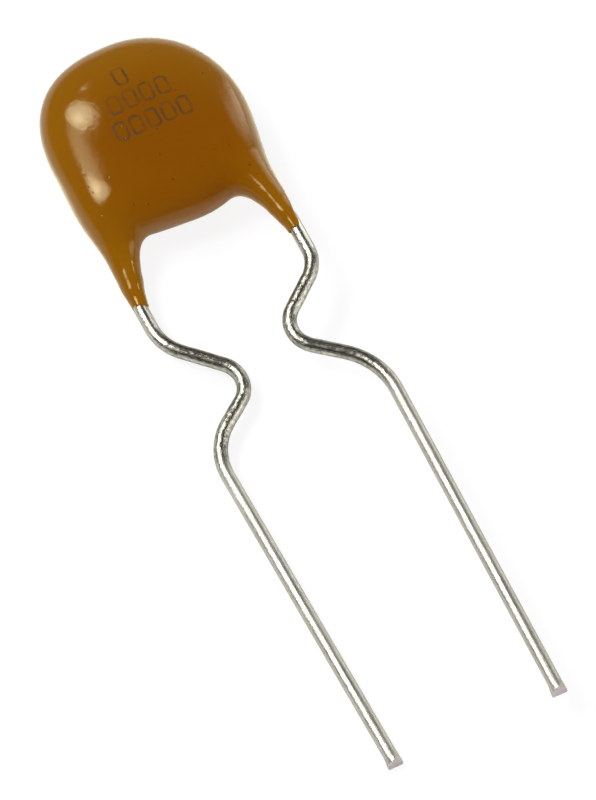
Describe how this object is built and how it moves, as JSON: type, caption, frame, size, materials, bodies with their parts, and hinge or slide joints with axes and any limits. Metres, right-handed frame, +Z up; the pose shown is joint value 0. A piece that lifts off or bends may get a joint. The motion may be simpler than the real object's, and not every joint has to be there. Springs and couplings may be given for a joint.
{
  "type": "resettable fuse",
  "caption": "Radial-leaded resettable fuse: rounded flat coated body on two straight wire leads, each with an inward kink below the coating.",
  "frame": {"origin": "centre of the bounding box on the table, with the fuse lying on its back", "axes": "+Y from the lead tips to the rounded top of the body, +Z up out of the front face, +X across the leads towards the front lead"},
  "size_m": [0.0072, 0.0294, 0.0028],
  "materials": {
    "coating": "glossy dipped epoxy coating, ochre brown",
    "polymer": "carbon-filled polymer, matt black",
    "foil": "satin nickel foil",
    "solder": "satin solder",
    "tinned_wire": "bright tinned copper wire with tool marks"
  },
  "bodies": {
    "root": {"coating": "coating", "polymer_chip": "polymer", "front_foil": "foil", "back_foil": "foil", "front_solder": "solder", "back_solder": "solder", "front_lead": "tinned_wire", "back_lead": "tinned_wire"}
  },
  "joints": []
}
